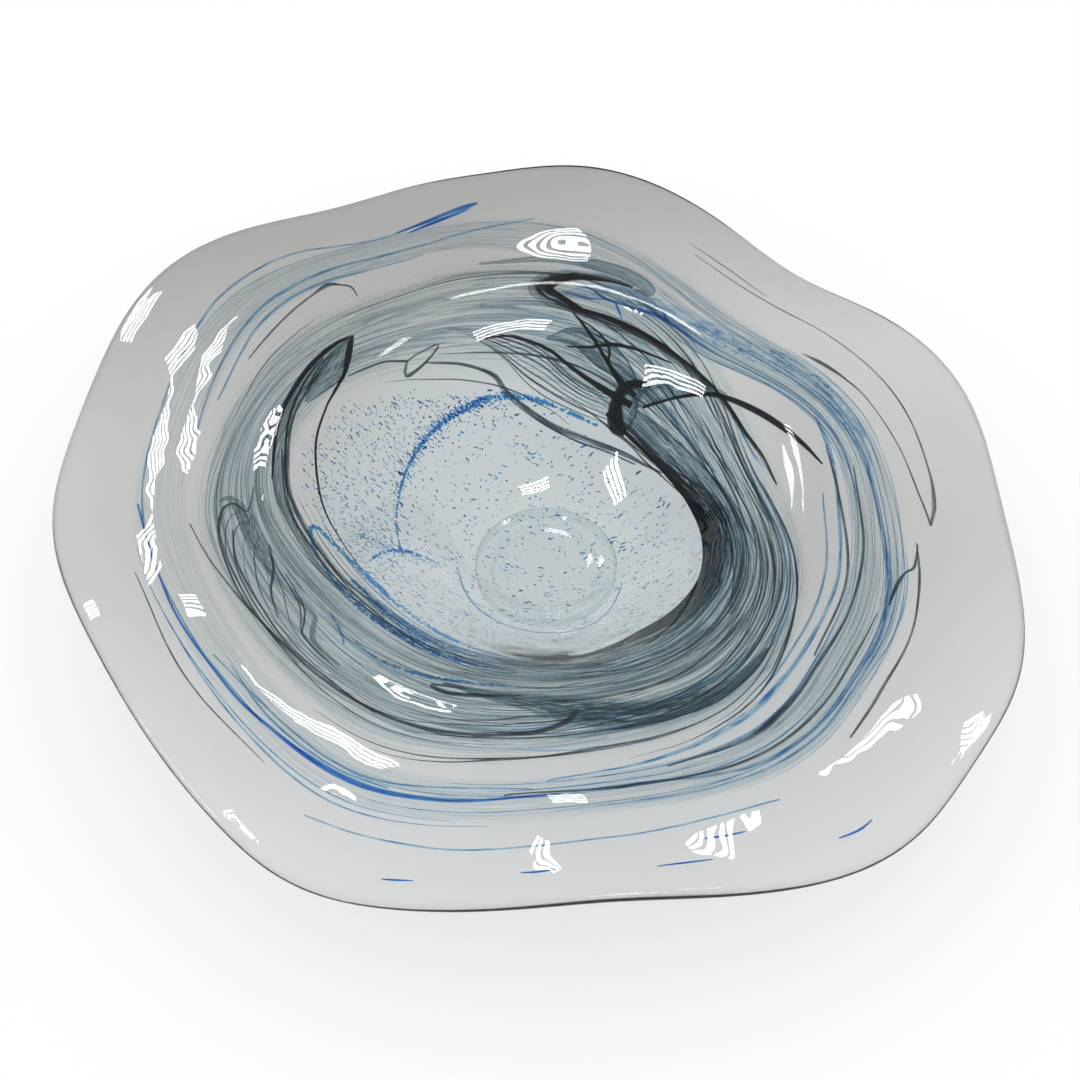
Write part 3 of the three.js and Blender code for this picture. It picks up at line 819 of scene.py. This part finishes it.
# Each stroke is a list of (bearing in degrees, radius, width) in millimetres on the flat disc,
# mostly listed clockwise, so that its right-hand side faces the middle of the bowl.
# name: (replaced nodes, finish, depth layer, strokes)
STROKES = {
    "black_crescent": (["black_crescent"], "folded black", 0, [
        [(66, 74, 2), (55, 71, 4), (40, 69, 4), (24, 70.5, 6), (10, 75, 10), (-5, 81, 14),
         (-20, 86, 15), (-32, 89, 16), (-45, 89, 16), (-58, 87, 15), (-66, 87, 11), (-74, 88, 8),
         (-82, 88.5, 4), (-92, 89, 1)]]),
    "black_knot": (["black_knot_arm_back"], "dense black", 1, [
        [(55, 90, 2), (60, 88, 4), (63.5, 83, 5.5), (63.5, 77, 7), (61, 71.5, 8), (56, 69.5, 3)],
        [(108, 102, 0.6), (100, 101, 1.2), (90, 95, 1.6), (82, 88, 1.8), (75, 84, 2.2), (66, 81, 3),
         (58, 80, 3)],
        [(83, 112, 0.8), (80, 107, 1.6), (75, 99, 1.8), (70, 92, 1.8), (64, 87, 1.8), (58, 84, 1.6)],
        [(81, 109, 0.6), (75, 104, 1), (71, 98, 1.4), (70, 92, 1.6), (64, 85, 1.4)],
        [(84, 96, 0.5), (77, 97, 1.4), (70, 100.5, 1.8), (62, 102, 1.4), (52, 103.5, 0.8)]]),
    "black_knot_arm_side": (["black_knot_arm_side"], "membrane", 1, [
        [(58, 81, 5), (52, 89, 9), (45, 97, 8), (38, 103, 5), (33, 107, 2)]]),
    "black_knot_web": ([], "membrane", 2, [
        [(90, 99, 1), (82, 101, 8), (73, 96, 12), (65, 91, 9), (58, 85, 4)],
        [(57, 87, 3), (59, 81, 9), (58, 75, 9), (56, 71, 3)]]),
    "black_tube": ([], "membrane", 2, [
        [(56, 76, 7), (45, 74.5, 9), (30, 75.5, 8), (18, 78, 8), (5, 83, 8), (-12, 91, 8),
         (-26, 99, 7), (-36, 105, 5), (-41, 108.5, 2)]]),
    "black_sweep": (["black_sweep"], "folded black", 0, [
        [(0, 110, 1), (10, 106, 2), (20, 103, 2.4), (30, 103.5, 3), (40, 105, 3.5), (50, 106, 4.5),
         (60, 107.5, 6), (70, 109, 7), (78, 111, 6), (84, 114, 3)]]),
    "black_sweep_tail": ([], "dense black", 1, [
        [(54, 81, 1), (45, 92, 1.6), (37, 102, 2.4), (30, 108, 3), (22, 114.5, 3.6), (14, 122, 3.4),
         (8, 129, 2.4), (3.5, 134.5, 1)]]),
    "black_hook_head": (["black_hook_head"], "folded black", 0, [
        [(81, 113, 4), (86, 116.5, 8), (90, 121, 11), (91.5, 126, 13), (89, 131, 12), (84, 135, 8),
         (76, 136, 5), (70, 135, 2)]]),
    "black_hook_curl": ([], "membrane", 1, [
        [(104, 147, 1.5), (92, 146.5, 4), (84, 145.5, 6), (76, 144, 8), (70, 141.5, 9), (66.5, 138, 7),
         (66.5, 134.5, 4), (69.5, 134.5, 1.5)]]),
    "black_leaf": (["black_leaf"], "membrane", 0, [
        [(216, 112, 1), (205, 116, 3), (194, 119.5, 4), (184, 123.5, 6), (174, 127, 6),
         (165, 129, 6.5), (156, 130, 7), (148, 130.5, 7), (141, 130.5, 5), (137, 130, 1)]]),
    "black_leaf_edge": ([], "dense black", 1, [
        [(152, 116, 0.8), (147, 117, 1.8), (143.5, 120.5, 3), (141, 124, 3.4), (139, 127.5, 3),
         (137, 130.5, 0.6)],
        [(206, 95, 0.5), (196, 99, 0.8), (184, 105, 1), (168, 111.8, 1.2), (157, 114.7, 1),
         (150, 116, 1.4), (144, 119, 1.4)],
        [(190, 117, 0.6), (180, 121.5, 1), (165, 127.5, 1.2), (154, 130, 1.2), (146, 131, 0.8)],
        [(180, 128, 1), (165, 132.3, 2), (152, 133, 2.6), (142, 132.4, 2.4), (137, 130, 1)]]),
    "black_leaf_tip": ([], "membrane", 1.6, [
        [(158, 124, 2), (152, 123.5, 10), (147, 123.5, 13), (142, 126, 9), (138, 129.5, 3)]]),
    "black_line_floor_edge": (["black_line_floor_edge"], "fine black", 1, [
        [(222, 100, 0.8), (210, 107, 1.8), (200, 111, 2.6), (190, 116, 2.4), (180, 120.5, 2),
         (164, 126, 1.4), (150, 127, 1)],
        [(225, 103, 0.6), (210, 110, 1.2), (198, 115, 1.6), (186, 121, 1.4), (172, 126, 1)]]),
    "black_line_loop": (["black_line_loop"], "fine black", 1, [
        [(146, 115.7, 1), (141, 112.8, 1.3), (135.7, 110, 1.2), (130.6, 105.2, 1.6)],
        [(130.6, 105.4, 1), (133.4, 100, 2), (126.3, 101, 1.2), (120.5, 105.8, 1), (127, 105.9, 0.8),
         (130.6, 105.2, 1)],
        [(126.3, 101, 1), (117.8, 95.3, 1.5), (111.5, 90.4, 1.8), (107, 86, 2.8), (104, 78.7, 3),
         (96, 70.5, 3), (87, 65.4, 2.8), (75, 62.8, 2.4), (60, 62.3, 2.2), (48, 63.2, 1.8),
         (32, 66.5, 1)],
        [(100, 73, 0.6), (90, 65.8, 0.9), (75, 61, 1), (60, 60.6, 1), (45, 62, 0.6)]]),
    "black_line_front": (["black_line_front"], "soft black", 0, [
        [(-44, 134, 2), (-56, 137, 8), (-68, 137, 14), (-76, 134.5, 18), (-84, 130, 19),
         (-92, 125, 13), (-101, 122, 7), (-112, 120.5, 2)]]),
    "black_front_fold": ([], "fine black", 1, [
        [(-84, 129, 2), (-85.6, 134, 3.4), (-89, 138, 3), (-94, 141, 3), (-106, 143.8, 2),
         (-118, 145.5, 1.5), (-132, 149, 1.2), (-148, 154, 1.4), (-160, 160, 1), (-170, 165, 0.8)],
        [(-95, 120, 1), (-103, 122, 2.6), (-110, 125, 3), (-114, 123, 2), (-107, 120, 1)]]),
    "black_line_far_right": (["black_line_far_right"], "fine black", 1, [
        [(62, 178, 0.6), (50, 176, 1.1), (40, 177, 1.2), (32, 179, 0.9), (20, 182.5, 1),
         (10, 186, 1.2), (0, 188.7, 1.4), (-6, 188, 2.6), (-10, 184.5, 1.4)],
        [(64, 185, 0.5), (54, 183, 1.2), (46, 181, 0.6)]]),
    "black_line_right": (["black_line_right"], "fine black", 1, [
        [(31, 157, 0.8), (27, 160.5, 3), (22, 164.5, 1.6), (16, 168.5, 0.9), (4, 176, 0.9),
         (-6, 182, 1.2), (-10, 184.5, 1.6)]]),
    "black_line_low_right": (["black_line_low_right"], "fine black", 1, [
        [(-13.5, 176.5, 0.7), (-20, 177.6, 1.5), (-30, 179.3, 1), (-40, 181, 1.6), (-47, 183, 0.8)]]),
    "black_kink": (["blue_kink"], "fine black", 0, [
        [(-14, 177, 0.7), (-18, 175, 1.7), (-19.5, 171, 1.1), (-22, 168, 2.4), (-26, 166.5, 0.8)]]),
    "black_line_low_left": (["black_line_low_left"], "fine black", 1, [
        [(-128, 194, 0.4), (-140, 196, 0.8), (-150, 196.3, 0.9), (-163, 194.5, 0.5)]]),
    "black_hook_back": (["black_hook_back"], "fine black", 1, [
        [(154, 158.7, 0.8), (142, 159.7, 1.2), (136, 162, 1.4), (132.5, 163.7, 3), (130.8, 161, 1.4),
         (129.4, 157, 1.5), (129.7, 150.5, 0.7)]]),
    "smoke_swirl_left": (["smoke_swirl_left"], "film", 0, [
        [(-131, 139, 1), (-138, 139.5, 2.6), (-141, 135, 3), (-143, 131.5, 3), (-150, 134, 4),
         (-157, 137, 6), (-164, 139, 9), (-171, 141, 8), (-175, 146, 4), (-174.5, 151, 1)]]),
    "smoke_swirl_lines": ([], "fine black", 1, [
        [(-131, 141, 0.6), (-140, 141.5, 1), (-143, 137, 1.2), (-146, 133, 1), (-155, 132, 0.6)],
        [(-136, 152, 0.6), (-152, 155, 1.2), (-165, 154, 1.4), (-172, 150.5, 1.5), (-174, 145, 1.3),
         (-172, 139, 1), (-178, 136, 0.7)],
        [(-120, 147, 0.6), (-140, 149.5, 1), (-158, 150, 1.1), (-168, 147, 1)],
        [(-146, 146, 0.6), (-152, 142, 1.2), (-157, 136, 1.4), (-163, 133.5, 0.8)]]),
    "blue_stroke_back": (["blue_thread_back"], "saturated blue", 1, [
        [(116, 184, 1.4), (111, 186, 3), (107, 189.5, 3.6), (103.5, 193, 5), (101.3, 195.5, 2)],
        [(114, 181, 1.2), (109.5, 184, 3), (105, 188, 2.6), (103, 190.5, 1)]]),
    "blue_thread_left": ([], "blue thread", 1, [
        [(228, 183, 0.8), (212, 184.5, 1.2), (196, 185, 1.2), (180, 185.3, 1.4), (165, 187, 1.4),
         (150, 190, 1.8), (140, 192.3, 2), (132, 193, 1.8), (126, 188, 1.8), (120, 183.8, 1.8),
         (114, 184, 1.4)]]),
    "blue_thread_inner": (["blue_thread_inner"], "blue thread", 1, [
        [(176, 166, 0.8), (163, 168, 1.2), (150, 170, 1.8), (140, 171.7, 2.4), (130, 172.5, 2.4),
         (122, 170.5, 1.8), (112, 168.5, 1.6), (102, 172, 1.4), (92, 176, 1)],
        [(164, 162.6, 0.8), (148, 165, 1.8), (136, 166.6, 2.2), (126, 164, 1.6), (114, 162, 0.8)]]),
    "blue_thread_front": (["blue_thread_front"], "saturated blue", 1, [
        [(-88, 174, 0.8), (-100, 176.6, 1.8), (-110, 178.3, 2.4), (-120, 179.3, 2.8),
         (-130, 181.5, 1.8), (-140, 184, 1.4), (-155, 186, 1.1), (-175, 187, 0.9)]]),
    "blue_thread_front_faint": ([], "blue thread", 1, [
        [(-112, 176.6, 0.8), (-122, 177.5, 1.4), (-132, 179, 1.4), (-142, 177, 0.8)],
        [(-92, 171, 0.8), (-112, 174, 1.2), (-128, 176, 1.2), (-145, 181, 1)],
        [(-60, 190, 0.8), (-80, 196, 1), (-100, 199, 1), (-120, 200, 0.8)]]),
    "blue_lace": (["blue_lace"], "blue lace", 1, [
        [(88, 116, 3), (82, 124, 9), (73, 128, 14), (64, 127, 17), (55, 129, 18), (46, 132, 19),
         (37, 138, 19), (28, 145, 17), (19, 150, 14), (8, 156, 9), (-2, 158, 3)],
        [(63, 104, 1), (50, 95, 2), (44, 87, 4), (40, 82, 2)]]),
    "blue_lace_star": ([], "saturated blue", 1.6, [
        [(84, 133, 0.5), (79, 127, 1.2), (75, 122.5, 1.8), (68, 122, 1.8), (63, 123, 2.8),
         (58, 122.5, 2.6), (51, 121, 1.4), (44, 121, 0.6)],
        [(61, 128.5, 0.5), (60.5, 126, 1.8), (59, 123, 2.4)],
        [(73, 122.5, 1), (71.5, 118, 1.4), (70, 114, 0.6)],
        [(86, 124, 0.5), (80, 121, 1), (75, 122.5, 0.8)]]),
    "blue_thread_right": (["blue_thread_right"], "blue thread", 1, [
        [(2, 157, 1), (-12, 160.5, 2.4), (-24, 165, 4), (-36, 168.5, 3), (-50, 171, 2),
         (-65, 173, 1.6), (-88, 175, 1)],
        [(16, 139, 1), (6, 139.5, 3), (-4, 140, 2), (-20, 142, 2), (-36, 144.5, 2.2), (-48, 147.5, 3),
         (-58, 152, 3.4), (-68, 157.5, 2.4), (-78, 162.5, 1.6), (-90, 167, 1)],
        [(-4, 133, 0.8), (-20, 136, 1.4), (-36, 140, 1.4), (-52, 146, 1)]]),
    "black_line_band": ([], "fine black", 0, [
        [(2, 150, 0.8), (-14, 151.5, 1.6), (-30, 152, 1.4), (-42, 154, 1.8), (-52, 158, 3),
         (-60, 161.5, 2.2), (-72, 165, 1)],
        [(-28, 163, 0.7), (-44, 166, 1.3), (-62, 170.5, 1.4), (-80, 173, 1.6), (-96, 174, 1)],
        [(8, 138.5, 1), (-6, 141, 1.6), (-22, 146, 1.4), (-40, 150.5, 1)]]),
    "blue_arc_floor": (["blue_arc_floor"], "speckled blue", 0, [
        [(192, 71, 1), (180, 72, 1.1), (165, 73.4, 1.4), (150, 75.4, 1.8), (135, 77.3, 2.6),
         (120, 78.3, 3.4), (108, 78.3, 3.6), (95, 75.5, 3), (82, 71.5, 2.4), (68, 68.5, 1.4)],
        [(192, 53, 1), (191, 62, 2.4), (192, 70, 2.8), (196, 80, 2.2), (202, 89, 1.2)]]),
    "blue_loop_left": ([], "speckled blue", 1, [
        [(-98, 90, 1.5), (-112, 88, 3.6), (-126, 88, 4.4), (-140, 90, 4.4), (-152, 94.5, 5),
         (-160, 101, 3.4), (-167, 108.5, 3), (-165.5, 112.5, 2.4), (-155, 113, 2), (-140, 110, 3),
         (-122, 106, 2)],
        [(-100, 102, 2), (-112, 102, 6), (-126, 104, 7), (-138, 107, 5), (-150, 111, 2)],
        [(-104, 95, 2), (-120, 96, 7), (-136, 99, 7), (-150, 103, 3)],
        [(-96, 114, 1), (-108, 116, 2.4), (-118, 120.5, 2.6), (-127, 124.5, 1.4), (-134, 125, 0.8)],
        [(-134, 130, 1), (-137, 126.5, 1.8), (-142, 124, 1)]]),
    "blue_arc_foot": (["blue_arc_foot"], "blue thread", 1, [
        [(-26, 40.5, 0.8), (-50, 46, 1), (-70, 50.5, 1.2), (-90, 50, 1.2), (-110, 48.7, 1.5),
         (-130, 47.3, 1.8), (-150, 45, 1.6), (-170, 43.5, 1)]]),
    "blue_dashes_front": (["blue_dash_front_1", "blue_dash_front_2",
        "blue_dash_front_3", "blue_dash_front_4"], "saturated blue", 1, [
        [(-66, 199.3, 0.6), (-68.5, 199.8, 1.1), (-71, 200, 0.6)],
        [(-52, 210.7, 0.5), (-54, 211.5, 1), (-56.5, 211, 0.5)],
        [(-71, 209, 0.5), (-74, 209.6, 0.9), (-77.5, 210.5, 0.5)],
        [(-89, 208.8, 0.5), (-91, 209.4, 1.1), (-93, 209.2, 0.5)],
        [(-105, 212.7, 0.5), (-107, 213.2, 1), (-108.5, 213.5, 0.5)]]),
}


def layer_depth(layer):
    """Depth of the middle of a colour layer under the inside face."""
    return GLASS_LAYER + CLEARANCE + layer * (CLEARANCE + COLOUR_LAYER) + COLOUR_LAYER / 2


def stroke_mesh(name, strokes):
    """The paths of some strokes as loose edges on the flat disc, each point with its width."""
    verts, edges, widths = [], [], []
    for stroke in strokes:
        for number, (bearing, radius, width) in enumerate(stroke):
            turn = math.radians(bearing)
            if number:
                edges.append((len(verts) - 1, len(verts)))
            verts.append((radius * math.cos(turn), radius * math.sin(turn), 0))
            widths.append(width)
    mesh = bpy.data.meshes.new(name)
    mesh.from_pydata(verts, edges, [])
    mesh.attributes.new("width", "FLOAT", "POINT").data.foreach_set("value", widths)
    return mesh


def draw(name, nodes, finish, layer, strokes, sizes):
    material, slot = colour_glass[finish]
    settings = {"Depth": layer_depth(layer), **sizes}
    settle(finished(name, stroke_mesh(name, strokes), ribbon_tree, material, settings), nodes)


THREAD_WIDTH = 4
for name, (nodes, finish, layer, strokes) in STROKES.items():
    widest = max(width for stroke in strokes for _, _, width in stroke)
    draw(name + "_trail", nodes, finish, layer, strokes, {"Sides": 8 if widest < THREAD_WIDTH else 20})


# ---- Hairs of colour that run with the spin ----

# Wandering edges: a radius and its (bearing, amount, spread) bumps.
SMOKE_INSIDE = (CLEAR_FLOOR_EDGE, FLOOR_EDGE)
SMOKE_OUTSIDE = (150, [(15, -50, 50), (-150, 10, 50)])
SHOULDER_INSIDE = (CLEAR_FLOOR_EDGE + 5, FLOOR_EDGE)
SHOULDER_OUTSIDE = (153, [(15, -44, 48), (-150, 12, 50)])
HAZE_INSIDE = (165, [(50, -50, 38), (-25, -18, 38)])
HAZE_OUTSIDE = (190, [(45, -34, 45), (-30, -13, 50)])

HAIR_SIZES = {"Sides": 6, "Step": 2.5, "Thickness": 0.2}
HAIR_STEPS, HAIR_WIDTHS = 9, (0.35, 1.0)


def edge_radius(edge, bearing):
    size, bumps = edge
    for centre, amount, spread_angle in bumps:
        away = (bearing - centre + 180) % 360 - 180
        size += amount * math.exp(-(away / spread_angle) ** 2)
    return size


def hair_strokes(seed, count, inside, outside, middle):
    """Fine strokes that follow the streaks, mostly about a bearing."""
    dice = random.Random(seed)
    strokes = []
    for _ in range(count):
        length = dice.uniform(24, 95)
        start = dice.gauss(middle, 62) + length / 2
        across = dice.uniform(-0.02, 1.03)
        lean = dice.uniform(-0.16, 0.16)
        width = dice.uniform(*HAIR_WIDTHS)
        stroke = []
        for step in range(HAIR_STEPS + 1):
            share = step / HAIR_STEPS
            bearing = start - length * share
            inner = edge_radius(inside, bearing)
            place = across + lean * share ** 2 + dice.uniform(-0.008, 0.008)
            radius = inner + place * (edge_radius(outside, bearing) - inner)
            stroke.append((bearing, radius, width * (0.25 + math.sin(math.pi * share))))
        strokes.append(stroke)
    return strokes


def fan(first, last, count, widest):
    """Strokes that step from one guide to another, each guide listing (bearing, radius)."""
    steps = len(first) - 1
    strokes = []
    for number in range(count):
        share = (number / (count - 1)) ** 1.3
        width = widest * (0.4 + 0.6 * (number * 7 % 5) / 4)
        strokes.append([
            (bearing + share * (next_bearing - bearing), radius + share * (next_radius - radius),
             width * (0.3 + math.sin(math.pi * step / steps)))
            for step, ((bearing, radius), (next_bearing, next_radius)) in enumerate(zip(first, last))])
    return strokes


HAIRS = {
    "black_hairs": ("fine black", 2.6, hair_strokes(4, 80, SMOKE_INSIDE, SMOKE_OUTSIDE, -30)),
    "blue_hairs": ("blue thread", 2.4, hair_strokes(9, 34, SMOKE_INSIDE, SMOKE_OUTSIDE, -60)),
    "haze_hairs": ("blue thread", 2.6, hair_strokes(15, 38, HAZE_INSIDE, HAZE_OUTSIDE, -30)),
    "knot_fan": ("fine black", 1.3, fan(
        [(118, 113), (109, 107), (100, 102), (92, 96), (84, 87), (76, 82), (66, 81)],
        [(108, 100), (103, 92), (97, 82), (90, 76), (83, 73), (75, 71), (64, 70)], 9, 0.9)),
    "swirl_fan": ("fine black", 1.3, fan(
        [(248, 144), (230, 149.5), (214, 153.5), (200, 155), (191, 152), (186.5, 146), (188, 140),
         (182, 136.5)],
        [(238, 139), (226, 141.5), (219, 141), (216, 137), (213, 134), (208, 133.5), (202, 134),
         (196, 134.5)], 8, 0.6)),
    "loop_fan": ("fine black", 1.3, fan(
        [(262, 113), (250, 109), (232, 107), (215, 110), (200, 115), (184, 126)],
        [(258, 92), (244, 91), (228, 92), (212, 96), (198, 102), (184, 109)], 7, 0.8)),
}
for name, (finish, layer, strokes) in HAIRS.items():
    draw(name, [], finish, layer, strokes, HAIR_SIZES)


# ---- Veils of smoke and haze ----

VEIL_ROWS, VEIL_STEPS, VEIL_THICKNESS = 36, 240, 0.3

# Each veil: the node it stands for, its colour, its slot, its depth layer and its two edges.
VEILS = {
    "inner_smoke": ("smoke_veil_wall", inner_smoke_colour, "smoke_glass", 3, SMOKE_INSIDE, SMOKE_OUTSIDE),
    "outer_smoke": ("smoke_veil_shoulder", outer_smoke_colour, "smoke_glass", 3.6, SHOULDER_INSIDE,
                    SHOULDER_OUTSIDE),
    "blue_haze": ("blue_haze_brim", blue_haze_colour, "pale_blue_glass", 4.2, HAZE_INSIDE, HAZE_OUTSIDE),
}


def make_veil(name, node, colour_of, slot, layer, inside, outside):
    depth = layer_depth(layer)
    outline = []
    for step in range(2 * VEIL_ROWS):
        swing = math.pi * step / VEIL_ROWS
        outline.append((1.5 - math.cos(swing) / 2, -depth - math.sin(swing) * VEIL_THICKNESS / 2))
    settings = {}
    for edge, (size, bumps) in (("Inner Edge", inside), ("Outer Edge", outside)):
        settings[edge] = float(size)
        for number, bump in enumerate(bumps, 1):
            for what, value in zip(("Bearing", "Amount", "Spread"), bump):
                settings[f"{edge} {number} {what}"] = float(value)
    glass = glass_material(name.replace("_", " "), 1.0, colour_of)
    mesh = turned(name, outline, VEIL_STEPS, closed=True)
    settle(finished(name, mesh, veil_tree, glass, settings), [node])


for name, settings in VEILS.items():
    make_veil(name, *settings)


# ---- Chips of colour in the floor ----

FRIT_REACH, FRIT_STEPS = 124, 180

frit_glass = glass_material("Frit glass", 1.0, frit_colour)
floor_disc = turned("frit_ground", [(radius, 0) for radius in spread(0, FRIT_REACH, 2)], FRIT_STEPS)
settle(finished("blue_frit", floor_disc, frit_tree, frit_glass), ["frit_bed"])


# ---- Stage, light and camera ----

FLOOR_RADIUS = 1.3
STUDIO_SEEN, STUDIO_MIRRORED, STUDIO_FILL = 1.0, 0.5, 0.35
SOFTBOX_HEIGHT, SOFTBOX_SIZE, SOFTBOX_POWER = 2.5, 4.0, 92
WINDOW_DISTANCE, WINDOW_GLOW, SLAT_SHARE = 1.6, 60, 0.6
CAMERA_LENS, CAMERA_ELEVATION, CAMERA_DISTANCE = 71, 54, 1.05
CAMERA_TARGET = FOOT_AXIS + Vector((-0.003, 0, 0.034))

# Small windows of bright slats: bearing, elevation, width and height in degrees, and slats.
WINDOWS = {
    "Far left window": (-35, 45.5, 6, 5, 5),
    "Back left window": (-22.5, 53.5, 6, 4.5, 5),
    "High back window": (-6, 66, 6, 5, 4),
    "Right window": (75, 67, 3.5, 4, 5),
    "High left window": (-62, 79.5, 4, 2.4, 3),
    "Front window": (160, 64, 20, 8, 4),
    "Front left window": (-107, 42.5, 22, 7, 4),
}


def make_floor():
    material = bpy.data.materials.new("Pale floor")
    material.use_nodes = True
    shader = material.node_tree.nodes["Principled BSDF"]
    finish = {"Base Color": (0.9, 0.9, 0.9, 1), "Roughness": 0.9, "Specular IOR Level": 0.0}
    for name, value in finish.items():
        shader.inputs[name].default_value = value
    mesh = turned("floor", [(0, 0), (0.5, 0), (FLOOR_RADIUS, 0)], 128)
    mesh.shade_flat()
    mesh.materials.append(material)
    floor = shown("floor", mesh)
    floor.location.z = -0.0005


def aim(item, target):
    item.rotation_euler = (target - item.location).to_track_quat("-Z", "Y").to_euler()


def make_panel(name, place, size, power):
    """A rectangular light that faces the bowl and isn't seen itself."""
    light = bpy.data.lights.new(name, "AREA")
    light.shape = "RECTANGLE"
    light.size, light.size_y = size
    light.energy = power
    item = shown(name, light)
    item.location = place
    aim(item, FOOT_AXIS)
    item.visible_camera = False
    item.visible_transmission = False
    return item


def make_window(name, bearing, elevation, width, height, slats):
    """A window that shows only as a striped reflection."""
    side, up = math.radians(bearing), math.radians(elevation)
    away = Vector((math.sin(side) * math.cos(up), math.cos(side) * math.cos(up), math.sin(up)))
    rise = Vector((-math.sin(side) * math.sin(up), -math.cos(side) * math.sin(up), math.cos(up)))
    centre = FOOT_AXIS + away * WINDOW_DISTANCE
    wide, high = (2 * WINDOW_DISTANCE * math.tan(math.radians(angle) / 2) for angle in (width, height))
    size = (wide, high / slats * SLAT_SHARE)
    power = size[0] * size[1] * WINDOW_GLOW
    for slat in range(slats):
        offset = ((slat + 0.5) / slats - 0.5) * high
        panel = make_panel(f"{name} {slat + 1}", centre + rise * offset, size, power)
        panel.visible_diffuse = False


def make_softbox():
    """A wide overhead light that the glass doesn't mirror."""
    softbox = make_panel("Overhead softbox", FOOT_AXIS + Vector((0, 0, SOFTBOX_HEIGHT)),
                         (SOFTBOX_SIZE, SOFTBOX_SIZE), SOFTBOX_POWER)
    softbox.visible_glossy = False
    softbox.data.cycles.use_multiple_importance_sampling = False


def make_world():
    """A pale studio, dimmer where the glass mirrors it than where it is seen through the glass."""
    world = bpy.data.worlds.new("Studio")
    bpy.context.scene.world = world
    world.use_nodes = True
    tree = world.node_tree
    tree.nodes.clear()
    height = parts(tree, add_node(tree, "ShaderNodeTexCoord").outputs["Generated"])[2]
    ramp = add_node(tree, "ShaderNodeValToRGB", {"Fac": height})
    ramp.color_ramp.elements[0].color = (0.80, 0.80, 0.80, 1)
    ramp.color_ramp.elements[1].color = (1.0, 1.0, 1.0, 1)
    light = add_node(tree, "ShaderNodeLightPath")
    ray = {kind: Field(tree, light.outputs[f"Is {kind} Ray"])
           for kind in ("Camera", "Transmission", "Reflection", "Diffuse")}
    mirrored = ray["Reflection"] * (ray["Diffuse"] * -1.0 + 1.0)
    seen = (ray["Camera"] + ray["Transmission"]).math("MINIMUM", 1.0)
    strength = seen * (STUDIO_SEEN - STUDIO_FILL) + mirrored * (STUDIO_MIRRORED - STUDIO_FILL) + STUDIO_FILL
    shade = result_of(tree, "ShaderNodeBackground", {"Color": ramp.outputs[0], "Strength": strength})
    add_node(tree, "ShaderNodeOutputWorld", {"Surface": shade})


def make_camera():
    data = bpy.data.cameras.new("Camera")
    data.lens, data.sensor_width = CAMERA_LENS, 36
    camera = shown("Camera", data)
    elevation = math.radians(CAMERA_ELEVATION)
    away = Vector((0, -math.cos(elevation), math.sin(elevation)))
    camera.location = CAMERA_TARGET + away * CAMERA_DISTANCE
    aim(camera, CAMERA_TARGET)
    bpy.context.scene.camera = camera


make_floor()
make_world()
make_softbox()
for name, settings in WINDOWS.items():
    make_window(name, *settings)
make_camera()
scene = bpy.context.scene
scene.view_settings.view_transform = "Standard"
scene.cycles.max_bounces = 96
scene.cycles.transmission_bounces = 96
scene.cycles.transparent_max_bounces = 128
scene.cycles.caustics_refractive = False
scene.cycles.caustics_reflective = False
